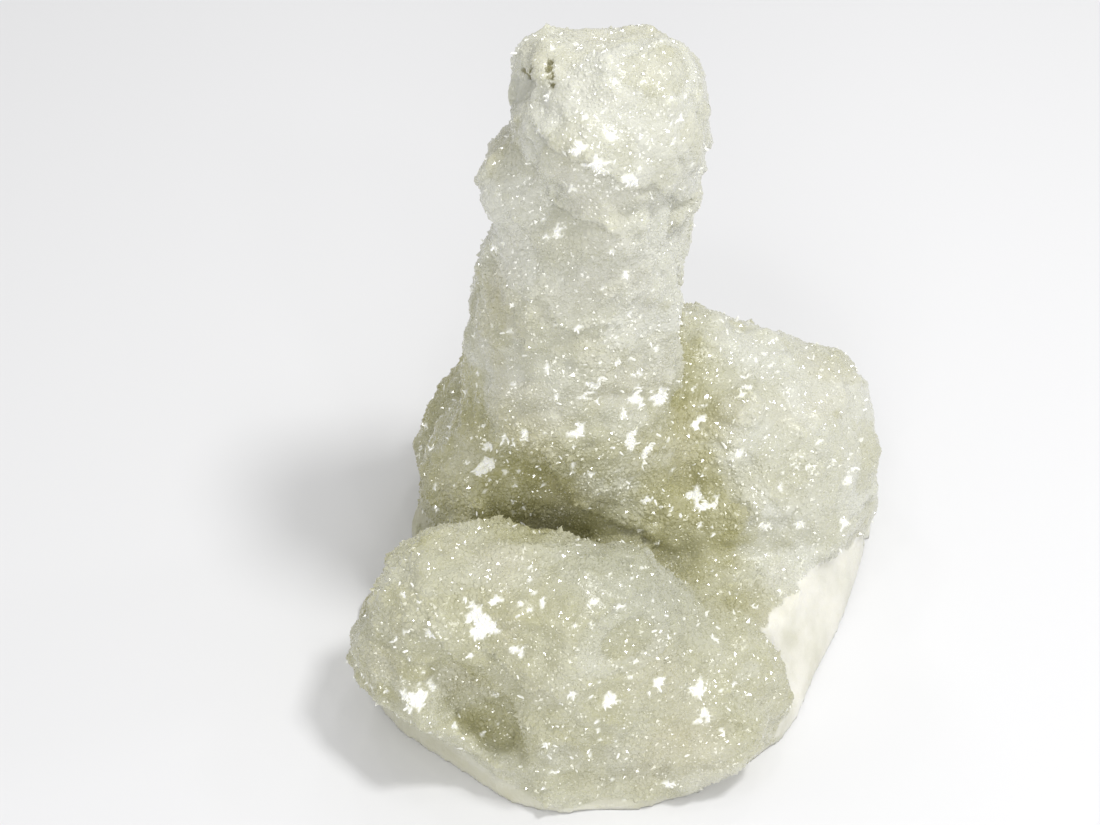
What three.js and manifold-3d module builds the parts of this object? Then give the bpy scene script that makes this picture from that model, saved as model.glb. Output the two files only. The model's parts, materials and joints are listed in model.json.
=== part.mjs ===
// A quartz stalactite specimen: one stone, sawn flat underneath so that it stands by itself.
//
// A knobbed column rises from a cluster of rounded lobes: a long pillow across the front, a dome to
// the right, and a valley between the three. A druse of quartz points covers everything but the
// sawn face, the smooth rim just above it and a flat that was ground on the right flank. Here the
// stone is a single closed solid. Its lobes and hollows are blended into one form, the tips of the
// druse are raised from that form's own skin, and the few points that stand clear are fused on.
//
// Units are millimetres. +Z is up, -Y is the front, and the origin is the middle of the sawn face's
// bounding box.

import * as THREE from "three";
import { ImprovedNoise } from "three/addons/math/ImprovedNoise.js";
import { mergeVertices } from "three/addons/utils/BufferGeometryUtils.js";
import Module from "manifold-3d";

// ---------------------------------------------------------------------------------------------
// Driving dimensions
// ---------------------------------------------------------------------------------------------

const GRID_STEP = 4.3; // spacing of the grid that the stone's surface is drawn through
const GRID_LOW = [-84, -92, -14];
const GRID_HIGH = [88, 82, 178];

const LUMP_WIDTH = 17; // coarse lumps all over the stone
const LUMP_HEIGHT = 1.7;
const KNOB_WIDTH = 8; // finer knobs on those
const KNOB_HEIGHT = 0.9;

// The smooth rim between the sawn face and the druse: it is tall on the left and low elsewhere.
const RIM = { height: [10, 3.5], acrossX: [-42, -12], lean: 0.15 };
const OVERHANG = 1.1; // how far the stone may swell past a smooth wall for each millimetre above it
const RAGGED_WIDTH = 13; // the smooth walls' upper edges rise and fall by these
const RAGGED_HEIGHT = 4;
const WALL_BLEND = 3; // softness of the edge where a smooth wall meets the druse

const FOOT_HEIGHT = 2.5; // thickness of the foot's edge, where it spreads under the lobes
const FOOT_BLEND = 7;

const TIP_HEIGHT = [0.7, 2.4]; // how far the six-faced tips of the druse stand up
const SKIN_MARGIN = 0.8; // druse that is nearer than this to a smooth wall stays flat
const TIP_CLEARANCE = 5; // a tip stands only where the stone leaves about this much room over it
const STONE_COLOUR = 0xd3d4c4;

// The sawn face's outline, anticlockwise from the left, in X and Y.
const FOOT_OUTLINE = [
  [-67, -14], [-65, -32], [-56, -50], [-37, -65.5], [-27, -74], [-9, -77.5], [10, -74.5], [27, -65],
  [42, -52.5], [49.5, -36], [58, -18], [65, 2], [70.5, 22], [67, 44], [48, 60], [22, 67], [-6, 66],
  [-30, 58], [-45, 44], [-51, 28], [-58, 10],
];
const FOOT_OUTLINE_STEPS = 84; // straight pieces that the outline's curve is measured in

// The flat that was ground on the right flank: a point on its foot, the way that it faces in degrees
// from +X, its lean from upright, and the height that it reaches at its front and at its back.
const FLANK_FLAT = {
  at: [57.5, -18, 3],
  azimuth: -24,
  lean: 28,
  topEdge: [[-50, 6], [-42, 25], [-18, 21], [-4, 15], [10, 8]], // each a place along Y and a height
};

// Each lobe is an ellipsoid: its middle, its three half widths, how softly it runs into the lobes
// before it and, on some, its turn about X, Y and Z in degrees.
const LOBES = [
  // the column, from its spreading foot to its crown
  { name: "column foot", at: [-15, 11, 26], half: [30, 23, 38], blend: 6 },
  { name: "foot left knob", at: [-33, 2, 30], half: [15.5, 19, 27], blend: 6 },
  { name: "foot right knob", at: [2, -1, 30], half: [16, 16, 28], blend: 4 },
  { name: "column shin", at: [-11.5, 8, 62], half: [25.5, 24, 28], blend: 9 },
  { name: "column waist", at: [-10.5, 9, 88], half: [24, 23, 24], blend: 9 },
  { name: "left rib", at: [-27, 19, 80], half: [8, 10, 24], turn: [0, 8, 0], blend: 3 },
  { name: "column neck", at: [-7.5, 11, 110], half: [21.5, 21, 22], blend: 9 },
  { name: "crown ring", at: [-8.5, 13, 124], half: [25.5, 23, 13], turn: [0, 5, 0], blend: 3 },
  { name: "crown cap", at: [-3, 14, 137], half: [23, 22, 19], turn: [0, 22, 0], blend: 2 },
  { name: "crown left knob", at: [-16.5, 20, 147], half: [9.5, 12, 10], blend: 4 },
  { name: "crown right knob", at: [2, 20, 144], half: [11.5, 12, 10], blend: 9 },
  // the pillow in front of the column
  { name: "pillow left", at: [-39, -42, 14], half: [25.5, 27, 40], blend: 3 },
  { name: "pillow middle", at: [-13, -45, 14], half: [33, 28, 41], blend: 8 },
  { name: "pillow right", at: [15, -43, 4], half: [31, 29, 29], blend: 8 },
  // the dome to the right, and the shoulder and the saddle that join it to the column
  { name: "right dome", at: [34.5, 19, 24], half: [33.5, 33.5, 35.5], blend: 5 },
  { name: "right flank", at: [36, -14, 2], half: [35, 39, 22], blend: 6 },
  { name: "right shoulder", at: [18, 28, 34], half: [21, 23, 30], blend: 7 },
  { name: "saddle", at: [17, 8, 33], half: [12, 12, 22], blend: 7 },
  // the back, where the lobes close round the column
  { name: "back left", at: [-27, 28, 16], half: [22.5, 26, 30], blend: 6 },
  { name: "back middle", at: [2, 40, 16], half: [33, 27, 32], blend: 6 },
  { name: "back buttress", at: [-11, 34, 44], half: [20, 17, 33], turn: [-8, 0, 0], blend: 9 },
  { name: "back left knob", at: [-36, 30, 8], half: [17, 22, 24], blend: 4 },
];

// Hollows are ellipsoids taken out of the lobes.
const HOLLOWS = [
  { name: "crown notch", at: [-26, 2, 154], half: [10, 10, 8], blend: 1.5 },
  { name: "crown step", at: [-21, -9, 134], half: [13, 9, 5], turn: [0, 38, 0], blend: 2 },
  { name: "pillow scoop", at: [-36, -69, 28], half: [19, 10.5, 9], turn: [0, 50, 0], blend: 2 },
  { name: "valley", at: [20, -12, 46], half: [9, 8, 11], blend: 6 },
  { name: "valley floor", at: [10, -22, 42], half: [21, 8, 14], blend: 4 },
];

// Single quartz points that stand clear of the druse: where each is rooted inside the stone, the way
// that it points, its width across the corners and its length to the tip.
const STANDING_POINTS = [
  { name: "neck point", root: [11.5, 9, 110.6], towards: [1, 0, 0.2], width: 2.4, length: 6.4 },
  { name: "dome point left", root: [31.5, 41.5, 47.5], towards: [-0.2, 0.5, 0.9], width: 2.2, length: 5.2 },
  { name: "dome point right", root: [34.2, 41.5, 47.5], towards: [0.3, 0.4, 0.9], width: 2.6, length: 5.6 },
];

// ---------------------------------------------------------------------------------------------
// The stone's form, as a field that is negative inside
// ---------------------------------------------------------------------------------------------

const noise = new ImprovedNoise();
const random = THREE.MathUtils.seededRandom;
const degrees = THREE.MathUtils.degToRad;

// Distance to an ellipsoid, close to exact near its skin.
function ellipsoidDistance(point, { at, half, turn = [0, 0, 0] }) {
  const local = point.clone().sub(new THREE.Vector3(...at));
  local.applyEuler(new THREE.Euler(...turn.map((a) => -degrees(a)), "ZYX"));
  const size = new THREE.Vector3(...half);
  const reach = local.divide(size).length();
  const slope = local.divide(size).length();
  return slope < 1e-9 ? -Math.min(...half) : (reach * (reach - 1)) / slope;
}

function smoothMin(a, b, width) {
  const overlap = Math.max(width - Math.abs(a - b), 0) / width;
  return Math.min(a, b) - (overlap * overlap * width) / 4;
}

function smoothMax(a, b, width) {
  return -smoothMin(-a, -b, width);
}

const footCorners = FOOT_OUTLINE.map(([x, y]) => new THREE.Vector3(x, y, 0));
const footCurve = new THREE.CatmullRomCurve3(footCorners, true, "catmullrom", 0.5);
const footLine = footCurve.getPoints(FOOT_OUTLINE_STEPS);

// Distance to the sawn face's outline in plan, negative inside it.
function footDistance(x, y) {
  let nearest = Infinity;
  let inside = false;
  for (let n = 1; n < footLine.length; n++) {
    const a = footLine[n - 1];
    const b = footLine[n];
    const share = ((x - a.x) * (b.x - a.x) + (y - a.y) * (b.y - a.y)) / a.distanceToSquared(b);
    const along = THREE.MathUtils.clamp(share, 0, 1);
    const reach = Math.hypot(x - a.x - along * (b.x - a.x), y - a.y - along * (b.y - a.y));
    nearest = Math.min(nearest, reach);
    if (a.y > y !== b.y > y && x < a.x + ((y - a.y) / (b.y - a.y)) * (b.x - a.x)) inside = !inside;
  }
  return inside ? -nearest : nearest;
}

const flankFacing = new THREE.Vector3().setFromSphericalCoords(
  1,
  degrees(90 - FLANK_FLAT.lean),
  degrees(90 + FLANK_FLAT.azimuth),
);
// spherical coordinates have Y up, so the axes are changed round for Z up
flankFacing.set(flankFacing.x, -flankFacing.z, flankFacing.y);
const flankPlane = new THREE.Plane().setFromNormalAndCoplanarPoint(
  flankFacing,
  new THREE.Vector3(...FLANK_FLAT.at),
);

// Height of a line of places and heights, level past both its ends.
function heightAlong(line, place) {
  const after = line.findIndex(([there]) => there > place);
  if (after === 0) return line[0][1];
  if (after < 0) return line.at(-1)[1];
  const [[here, low], [there, high]] = line.slice(after - 1, after + 1);
  return THREE.MathUtils.mapLinear(place, here, there, low, high);
}

// Distance to the smooth rim round the foot and the flat on the right flank, negative inside both.
function wallDistance(point) {
  const { x, y, z } = point;
  const ragged = RAGGED_HEIGHT * 2 * noise.noise(x / RAGGED_WIDTH, y / RAGGED_WIDTH, 7);
  const rimShare = THREE.MathUtils.clamp(THREE.MathUtils.inverseLerp(...RIM.acrossX, x), 0, 1);
  const rimTop = THREE.MathUtils.lerp(...RIM.height, rimShare) + ragged * 0.4;
  const rim = footDistance(x, y) + RIM.lean * z - OVERHANG * Math.max(z - rimTop, 0);
  const flatTop = heightAlong(FLANK_FLAT.topEdge, y) + ragged;
  const flat = flankPlane.distanceToPoint(point) - OVERHANG * Math.max(z - flatTop, 0);
  return smoothMax(rim, flat, 1);
}

function field(point) {
  let distance = Infinity;
  for (const lobe of LOBES) {
    const next = ellipsoidDistance(point, lobe);
    distance = distance === Infinity ? next : smoothMin(distance, next, lobe.blend);
  }
  for (const hollow of HOLLOWS) {
    distance = smoothMax(distance, -ellipsoidDistance(point, hollow), hollow.blend);
  }
  const foot = Math.max(footDistance(point.x, point.y), point.z - FOOT_HEIGHT);
  distance = smoothMin(distance, foot, FOOT_BLEND);
  const lump = noise.noise(...point.toArray().map((c) => c / LUMP_WIDTH + 40));
  const knob = noise.noise(...point.toArray().map((c) => c / KNOB_WIDTH + 90));
  distance -= LUMP_HEIGHT * 2 * lump + KNOB_HEIGHT * 2 * knob;
  distance = smoothMax(distance, wallDistance(point), WALL_BLEND);
  return Math.max(distance, GRID_LOW[2] + GRID_STEP * 1.5 - point.z);
}

// The field's steepest way up, so the way out of the stone.
function slopeAt(point) {
  const reach = 0.5;
  const slope = new THREE.Vector3();
  for (const axis of ["x", "y", "z"]) {
    const ahead = point.clone();
    const behind = point.clone();
    ahead[axis] += reach;
    behind[axis] -= reach;
    slope[axis] = (field(ahead) - field(behind)) / (2 * reach);
  }
  return slope;
}

// ---------------------------------------------------------------------------------------------
// The surface: one corner in each grid cell that the surface passes through, joined by quads
// ---------------------------------------------------------------------------------------------

// A cell's eight grid points are numbered by one bit for each axis, and an edge joins two points
// that differ in one bit.
const CELL_POINTS = [0, 1, 2, 3, 4, 5, 6, 7];
const CELL_EDGES = CELL_POINTS.flatMap((from) =>
  [1, 2, 4].filter((bit) => !(from & bit)).map((bit) => [from, from | bit]),
);
const offsetOf = (point) => [point & 1, (point >> 1) & 1, point >> 2];

// Whether these points of a cell can all be reached from the first along its edges.
function isOnePiece(points) {
  const left = new Set(points);
  const reached = [points[0]];
  left.delete(points[0]);
  for (const from of reached)
    for (const bit of [1, 2, 4]) if (left.delete(from ^ bit)) reached.push(from ^ bit);
  return left.size === 0;
}

function surfaceOf(step) {
  const low = new THREE.Vector3(...GRID_LOW);
  const count = GRID_HIGH.map((high, axis) => Math.ceil((high - GRID_LOW[axis]) / step) + 1);
  const place = (i, j, k) => new THREE.Vector3(i, j, k).multiplyScalar(step).add(low);
  const key = (i, j, k) => (k * count[1] + j) * count[0] + i;

  const value = [];
  for (let k = 0; k < count[2]; k++)
    for (let j = 0; j < count[1]; j++)
      for (let i = 0; i < count[0]; i++) value.push(field(place(i, j, k)));
  const isInside = (i, j, k) => value[key(i, j, k)] < 0;
  const pointKey = (i, j, k, point) => {
    const [x, y, z] = offsetOf(point);
    return key(i + x, j + y, k + z);
  };

  // two sheets of the surface may not meet in one cell: its shallowest outside point is filled in
  // until they don't
  for (let pinched = true; pinched; ) {
    pinched = false;
    for (let k = 0; k < count[2] - 1; k++)
      for (let j = 0; j < count[1] - 1; j++)
        for (let i = 0; i < count[0] - 1; i++) {
          const depth = (point) => value[pointKey(i, j, k, point)];
          const inside = CELL_POINTS.filter((point) => depth(point) < 0);
          const outside = CELL_POINTS.filter((point) => depth(point) >= 0);
          if (!inside.length || !outside.length) continue;
          if (isOnePiece(inside) && isOnePiece(outside)) continue;
          const shallowest = outside.reduce((a, b) => (depth(a) < depth(b) ? a : b));
          value[pointKey(i, j, k, shallowest)] = -step * 0.1;
          pinched = true;
        }
  }

  // a cell's corner of the surface lies in the middle of the places where its edges cross it
  const corners = [];
  const cornerOf = new Map();
  function cornerIn(i, j, k) {
    const cell = key(i, j, k);
    if (cornerOf.has(cell)) return cornerOf.get(cell);
    const sum = new THREE.Vector3();
    let crossings = 0;
    for (const [from, to] of CELL_EDGES) {
      const a = value[pointKey(i, j, k, from)];
      const b = value[pointKey(i, j, k, to)];
      if (a < 0 === b < 0) continue;
      const start = new THREE.Vector3(...offsetOf(from));
      sum.add(start.lerp(new THREE.Vector3(...offsetOf(to)), a / (a - b)));
      crossings++;
    }
    sum.divideScalar(crossings).multiplyScalar(step).add(place(i, j, k));
    cornerOf.set(cell, corners.length);
    corners.push(sum);
    return corners.length - 1;
  }

  // each grid edge that crosses the surface is ringed by four cells, and so by a quad
  const triangles = [];
  for (let k = 1; k < count[2] - 1; k++)
    for (let j = 1; j < count[1] - 1; j++)
      for (let i = 1; i < count[0] - 1; i++)
        for (const axis of [0, 1, 2]) {
          const next = [i, j, k];
          next[axis]++;
          if (isInside(i, j, k) === isInside(...next)) continue;
          const u = [0, 0, 0];
          const v = [0, 0, 0];
          u[(axis + 1) % 3] = 1;
          v[(axis + 2) % 3] = 1;
          const ring = [
            cornerIn(i - u[0] - v[0], j - u[1] - v[1], k - u[2] - v[2]),
            cornerIn(i - v[0], j - v[1], k - v[2]),
            cornerIn(i, j, k),
            cornerIn(i - u[0], j - u[1], k - u[2]),
          ];
          if (!isInside(i, j, k)) ring.reverse();
          const [a, b, c, d] = ring;
          // the shorter diagonal gives the rounder pair of triangles
          if (corners[a].distanceTo(corners[c]) < corners[b].distanceTo(corners[d])) {
            triangles.push(a, b, c, a, c, d);
          } else {
            triangles.push(a, b, d, b, c, d);
          }
        }

  for (const corner of corners) {
    const slope = slopeAt(corner);
    const shift = slope.multiplyScalar(-field(corner) / slope.lengthSq());
    corner.add(shift.clampLength(0, step * 0.3));
  }
  return { corners, triangles };
}

// ---------------------------------------------------------------------------------------------
// The druse: corners that no two neighbours share are raised into tips, each the top of a quartz
// point with about six flat faces
// ---------------------------------------------------------------------------------------------

function raiseTips({ corners, triangles }) {
  const neighbours = corners.map(() => new Set());
  for (let n = 0; n < triangles.length; n += 3) {
    const face = triangles.slice(n, n + 3);
    for (const a of face) for (const b of face) neighbours[a].add(b);
  }
  const raised = new Set();
  const outward = corners.map((corner) => slopeAt(corner).normalize());
  corners.forEach((corner, index) => {
    const ahead = corner.clone().addScaledVector(outward[index], TIP_CLEARANCE);
    const hemmedIn = field(ahead) < TIP_CLEARANCE * 0.6;
    const onWall = wallDistance(corner) > -SKIN_MARGIN;
    const besideTip = [...neighbours[index]].some((other) => raised.has(other));
    if (!hemmedIn && !onWall && !besideTip) raised.add(index);
  });
  for (const index of raised) {
    const height = THREE.MathUtils.lerp(...TIP_HEIGHT, random());
    corners[index].addScaledVector(outward[index], height);
  }
}

// ---------------------------------------------------------------------------------------------
// Solids
// ---------------------------------------------------------------------------------------------

const wasm = await Module();
wasm.setup();

function solidOf(geometry) {
  const bare = geometry.clone();
  for (const name of ["normal", "uv"]) bare.deleteAttribute(name);
  const merged = mergeVertices(bare, 1e-4);
  return new wasm.Manifold(
    new wasm.Mesh({
      numProp: 3,
      vertProperties: merged.attributes.position.array,
      triVerts: new Uint32Array(merged.index.array),
    }),
  );
}

function geometryOf(solid) {
  const { vertProperties, triVerts } = solid.getMesh();
  const geometry = new THREE.BufferGeometry();
  geometry.setAttribute("position", new THREE.BufferAttribute(vertProperties, 3));
  geometry.setIndex(new THREE.BufferAttribute(triVerts, 1));
  return geometry;
}

// A hexagonal prism under a six-faced tip, rooted and turned as a standing point says.
function standingPoint({ root, towards, width, length }) {
  const tipLength = width * 0.75;
  const profile = [
    new THREE.Vector2(0, 0),
    new THREE.Vector2(width / 2, 0),
    new THREE.Vector2(width / 2, length - tipLength),
    new THREE.Vector2(0, length),
  ];
  const geometry = new THREE.LatheGeometry(profile, 6);
  const along = new THREE.Vector3(...towards).normalize();
  geometry.applyQuaternion(new THREE.Quaternion().setFromUnitVectors(new THREE.Vector3(0, 1, 0), along));
  return geometry.translate(...root);
}

// Everything below the sawn face, to be cut away.
function belowTheSaw() {
  const size = 400;
  return solidOf(new THREE.BoxGeometry(size, size, size).translate(0, 0, -size / 2));
}

// ---------------------------------------------------------------------------------------------
// The specimen
// ---------------------------------------------------------------------------------------------

const surface = surfaceOf(GRID_STEP);
raiseTips(surface);
const skin = new THREE.BufferGeometry().setFromPoints(surface.corners);
skin.setIndex(surface.triangles);

let stone = solidOf(skin);
for (const point of STANDING_POINTS) stone = stone.add(solidOf(standingPoint(point)));
stone = stone.subtract(belowTheSaw());

// the origin goes under the middle of the stone's bounding box
const geometry = geometryOf(stone);
geometry.computeBoundingBox();
const middle = geometry.boundingBox.getCenter(new THREE.Vector3());
geometry.translate(-middle.x, -middle.y, 0);

const quartz = new THREE.MeshStandardMaterial({ color: STONE_COLOUR, roughness: 0.3, metalness: 0 });
const mesh = new THREE.Mesh(geometry, quartz);
mesh.name = "quartz_crystal";

const specimen = new THREE.Group();
specimen.add(mesh);
export default specimen;
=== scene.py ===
"""Dresses the solid of a drusy quartz stalactite: its overgrown stone, the crust of quartz points on
it, a pale table, soft light and the camera. Lengths in the comments are in millimetres."""

import json
import math

import bmesh
import bpy
import numpy as np
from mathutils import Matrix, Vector, kdtree, noise
from mathutils.bvhtree import BVHTree

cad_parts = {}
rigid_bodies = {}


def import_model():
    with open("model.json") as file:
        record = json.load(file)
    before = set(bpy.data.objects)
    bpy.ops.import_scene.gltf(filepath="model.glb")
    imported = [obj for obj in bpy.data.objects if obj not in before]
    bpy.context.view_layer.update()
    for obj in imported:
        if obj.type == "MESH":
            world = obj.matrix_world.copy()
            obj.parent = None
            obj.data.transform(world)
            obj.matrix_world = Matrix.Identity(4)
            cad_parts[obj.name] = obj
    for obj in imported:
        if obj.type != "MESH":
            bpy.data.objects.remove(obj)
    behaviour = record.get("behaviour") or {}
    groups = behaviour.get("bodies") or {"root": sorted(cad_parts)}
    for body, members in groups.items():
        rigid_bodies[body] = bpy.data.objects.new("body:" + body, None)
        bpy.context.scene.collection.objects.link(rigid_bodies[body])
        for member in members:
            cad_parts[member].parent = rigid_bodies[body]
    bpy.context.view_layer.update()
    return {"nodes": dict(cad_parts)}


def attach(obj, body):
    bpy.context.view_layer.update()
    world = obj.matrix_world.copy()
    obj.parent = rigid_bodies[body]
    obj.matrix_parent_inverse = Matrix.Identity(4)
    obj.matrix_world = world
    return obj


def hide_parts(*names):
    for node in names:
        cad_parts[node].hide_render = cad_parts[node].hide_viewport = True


bl_info = {
    "name": "Drusy quartz stalactite",
    "version": (1, 0, 0),
    "blender": (4, 5, 0),
    "location": "View3D > Sidebar > Quartz",
    "description": "Grows a crust of quartz points on a stalactite-shaped stone",
    "category": "Add Mesh",
}

MM = 0.001
NODE = "quartz_crystal"
BODY = "root"
QUARTZ_IOR = 1.544

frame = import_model()


# ---------------------------------------------------------------------------------------------
# Colours and nodes
# ---------------------------------------------------------------------------------------------


def linear(hex_colour):
    """The linear RGB of an sRGB hex colour."""
    parts = [int(hex_colour[n : n + 2], 16) / 255 for n in (1, 3, 5)]
    return tuple(p / 12.92 if p <= 0.04045 else ((p + 0.055) / 1.055) ** 2.4 for p in parts)


def add_node(tree, kind, links=None, **settings):
    """Adds a node, sets its properties and its unlinked inputs, and links the rest. In settings a
    name is a property, and in links an input's name or number goes to a socket or to a value."""
    node = tree.nodes.new(kind)
    for name, value in settings.items():
        setattr(node, name, value)
    for name, value in (links or {}).items():
        socket = node.inputs[name]
        if isinstance(value, bpy.types.NodeSocket):
            tree.links.new(value, socket)
        else:
            socket.default_value = value
    return node


# ---------------------------------------------------------------------------------------------
# What a user would change
# ---------------------------------------------------------------------------------------------


def length(name, description, millimetres):
    return bpy.props.FloatProperty(
        name=name, description=description, default=millimetres * MM, unit="LENGTH", precision=5
    )


def colour(name, description, hex_colour):
    return bpy.props.FloatVectorProperty(
        name=name, description=description, default=linear(hex_colour), subtype="COLOR", min=0, max=1
    )


class StoneSettings(bpy.types.PropertyGroup):
    """The overgrown stone under the points."""

    grain: length("Grain", "Size of the cells that the stone's skin is made from", 1.03)
    swell: length("Swell", "How far the stone's skin is grown back after it is smoothed", 0.3)
    lump: length("Lumps", "Height of the lumps on the stone", 0.5)
    ledge: length("Ledges", "Height of the curved steps in the crust", 0.7)
    pit: length("Pits", "Depth of the pits between the lumps", 0.9)
    milky: colour("Milky quartz", "Colour of the stone where it is thick with druse", "#cbcbbf")
    # olive is the stone's own olive tone and also the colour of the painted shade in hollows and on
    # shaded sides
    olive_and_shade: colour("Olive quartz", "Colour of the stone in its hollows", "#a5a279")
    cool: colour("Blue-grey quartz", "Colour of the clear zone on top of the pillow", "#abac9e")
    warm: colour("Pink-beige quartz", "Colour of the stained zones", "#c8bfac")
    # frost is the white of frosted quartz and of painted highlights
    frost: colour("Frost", "Colour of the snow-white patches", "#f6f6ef")
    # dark is the colour of mud and of painted shade inside the crown's holes
    hole_mud_and_shade: colour("Dark quartz", "Colour inside the holes of the crown", "#87835f")
    sawn: colour("Sawn quartz", "Colour of the smooth rim and the ground flank", "#e8e6dc")


class DruseSettings(bpy.types.PropertyGroup):
    """The crust of quartz points."""

    spacing: length("Spacing", "Least distance between two points", 0.74)
    widest: length("Widest", "Width of the widest points across their corners", 2.2)
    tilt: bpy.props.FloatProperty(
        name="Tilt",
        description="How far a point may lean from the stone's normal",
        default=math.radians(32),
        subtype="ANGLE",
    )
    seed: bpy.props.IntProperty(name="Seed", description="Which random crust is grown", default=7)


class StageSettings(bpy.types.PropertyGroup):
    """The table, the light and the camera."""

    table: colour("Table", "Colour of the table", "#dededf")
    distance: length("Camera distance", "From the camera to the point it looks at", 572)
    lens: bpy.props.FloatProperty(
        name="Lens", description="Focal length in millimetres on a 36 mm sensor", default=76.4
    )
    elevation: bpy.props.FloatProperty(
        name="Elevation",
        description="How far the camera looks down",
        default=math.radians(45),
        subtype="ANGLE",
    )
    target: bpy.props.FloatVectorProperty(
        name="Target",
        description="The point that the camera looks at",
        default=(-18.5 * MM, 4.4 * MM, 60 * MM),
        subtype="TRANSLATION",
        unit="LENGTH",
    )


# ---------------------------------------------------------------------------------------------
# The stone
# ---------------------------------------------------------------------------------------------

FLANK_FOOT = Vector((56.0, -13.6, 3.0)) * MM  # a point on the ground flank
FLANK_AZIMUTH = math.radians(-24)
FLANK_LEAN = math.radians(28)
FLANK_FACING = Vector(
    (
        math.cos(FLANK_AZIMUTH) * math.cos(FLANK_LEAN),
        math.sin(FLANK_AZIMUTH) * math.cos(FLANK_LEAN),
        math.sin(FLANK_LEAN),
    )
)
# The flank's upper edge: places along Y and the heights there, in millimetres.
FLANK_TOP = ((-45.6, 6), (-37.6, 25), (-13.6, 21), (0.4, 15), (14.4, 8))
RIM_HIGH = 9.5 * MM  # the smooth rim above the sawn face, on the left
RIM_LOW = 2.6 * MM  # and elsewhere
RIM_PALE = 0.4  # how much of the ground flank's paleness the rim has
BASE_HEIGHT = 0.5 * MM  # places lower than this belong to the sawn face
FLAT_BELOW = 0.55 * MM  # and after the stone is overgrown, places lower than this are laid flat


def smoothstep(low, high, value):
    """0 up to low and 1 from high on, with a soft slope between them, which may also fall."""
    share = np.clip((value - low) / (high - low), 0.0, 1.0)
    return share * share * (3 - 2 * share)


def corners_of(mesh):
    places = np.empty(len(mesh.vertices) * 3, np.float32)
    mesh.vertices.foreach_get("co", places)
    return places.reshape(-1, 3).astype(float)


def normals_of(mesh):
    normals = np.empty(len(mesh.vertices) * 3, np.float32)
    mesh.vertices.foreach_get("normal", normals)
    return normals.reshape(-1, 3).astype(float)


def noise_at(places, width, offset):
    """Perlin noise, -1 to 1, with lumps of this width in metres."""
    shifted = places / width + offset
    return np.array([noise.noise(p) for p in shifted])


def set_places(mesh, places):
    mesh.vertices.foreach_set("co", places.astype(np.float32).ravel())
    mesh.update()


def set_attribute(mesh, name, values):
    layer = mesh.attributes.new(name, "FLOAT", "POINT")
    layer.data.foreach_set("value", values.astype(np.float32))


def attribute_of(mesh, name):
    values = np.empty(len(mesh.vertices), np.float32)
    mesh.attributes[name].data.foreach_get("value", values)
    return values


def evaluated_mesh(thing):
    """A plain mesh of the object with its modifiers applied."""
    bpy.context.view_layer.update()
    graph = bpy.context.evaluated_depsgraph_get()
    return bpy.data.meshes.new_from_object(thing.evaluated_get(graph))


def new_object(name, mesh):
    thing = bpy.data.objects.new(name, mesh)
    bpy.context.scene.collection.objects.link(thing)
    return thing


def remove_object(thing):
    mesh = thing.data
    bpy.data.objects.remove(thing)
    bpy.data.meshes.remove(mesh)


def merged_copy(solid):
    """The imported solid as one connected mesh."""
    shape = bmesh.new()
    shape.from_mesh(solid.data)
    bmesh.ops.remove_doubles(shape, verts=shape.verts, dist=0.002 * MM)
    mesh = bpy.data.meshes.new("quartz_stone")
    shape.to_mesh(mesh)
    shape.free()
    return mesh


def openness_of(mesh, skin, rays=28, reach=45 * MM, lift=2.5 * MM):
    """How much of the sky each corner sees, from 0 in a deep hollow to 1 on a crest."""
    golden = math.pi * (3 - math.sqrt(5))
    directions = []
    for n in range(rays):
        up = 1 - (n + 0.5) / rays
        flat = math.sqrt(1 - up * up)
        directions.append(Vector((flat * math.cos(golden * n), flat * math.sin(golden * n), up)))
    seen = []
    for corner in mesh.vertices:
        turn = corner.normal.to_track_quat("Z", "Y")
        start = corner.co + corner.normal * lift
        free = 0.0
        for direction in directions:
            hit = skin.ray_cast(start, turn @ direction, reach)
            free += 1.0 if hit[0] is None else min(1.0, hit[3] / reach)
        seen.append(free / rays)
    return np.array(seen)


def spread_to(places, known_places, known_values, nearest=6):
    """Carries values from one set of places to another by the mean of the nearest few."""
    tree = kdtree.KDTree(len(known_places))
    for n, place in enumerate(known_places):
        tree.insert(place, n)
    tree.balance()
    spread = []
    for place in places:
        found = tree.find_n(place, nearest)
        weights = [1 / (distance + 1 * MM) for _, _, distance in found]
        total = sum(w * known_values[n] for w, (_, n, _) in zip(weights, found))
        spread.append(total / sum(weights))
    return np.array(spread)


def smooth_share(places, normals):
    """1 on the sawn face, the smooth rim above it and the ground flank, 0 where druse grows, and how
    pale the smooth faces are: the ground flank is frosted white and the rim only in part."""
    ragged = noise_at(places, 6 * MM, 31.0)
    left = smoothstep(-12 * MM, -42 * MM, places[:, 0])
    rim_top = RIM_LOW + (RIM_HIGH - RIM_LOW) * left + 2.2 * MM * ragged * (0.35 + 0.65 * left)
    outward = normals[:, 2] < 0.75
    rim = smoothstep(0.6 * MM, -0.6 * MM, places[:, 2] - rim_top) * outward
    facing = normals @ np.array(FLANK_FACING)
    off_plane = (places - np.array(FLANK_FOOT)) @ np.array(FLANK_FACING)
    there, heights = np.array(FLANK_TOP).T * MM
    flank_top = np.interp(places[:, 1], there, heights) + 4 * MM * ragged
    flank = smoothstep(0.7, 0.82, facing) * smoothstep(-2.4 * MM, -1.4 * MM, off_plane)
    flank *= smoothstep(0.6 * MM, -0.6 * MM, places[:, 2] - flank_top)
    base = (places[:, 2] < BASE_HEIGHT) * 1.0
    return np.maximum.reduce([rim, flank, base]), np.maximum(flank, RIM_PALE * np.maximum(rim, base))


# Marks on the front are kept by where they show in the front camera's view, in pixels across and
# down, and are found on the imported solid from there.
VIEW_WIDTH = 1100
VIEW_HEIGHT = 825
SENSOR_WIDTH = 36  # the camera's, in millimetres


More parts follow.
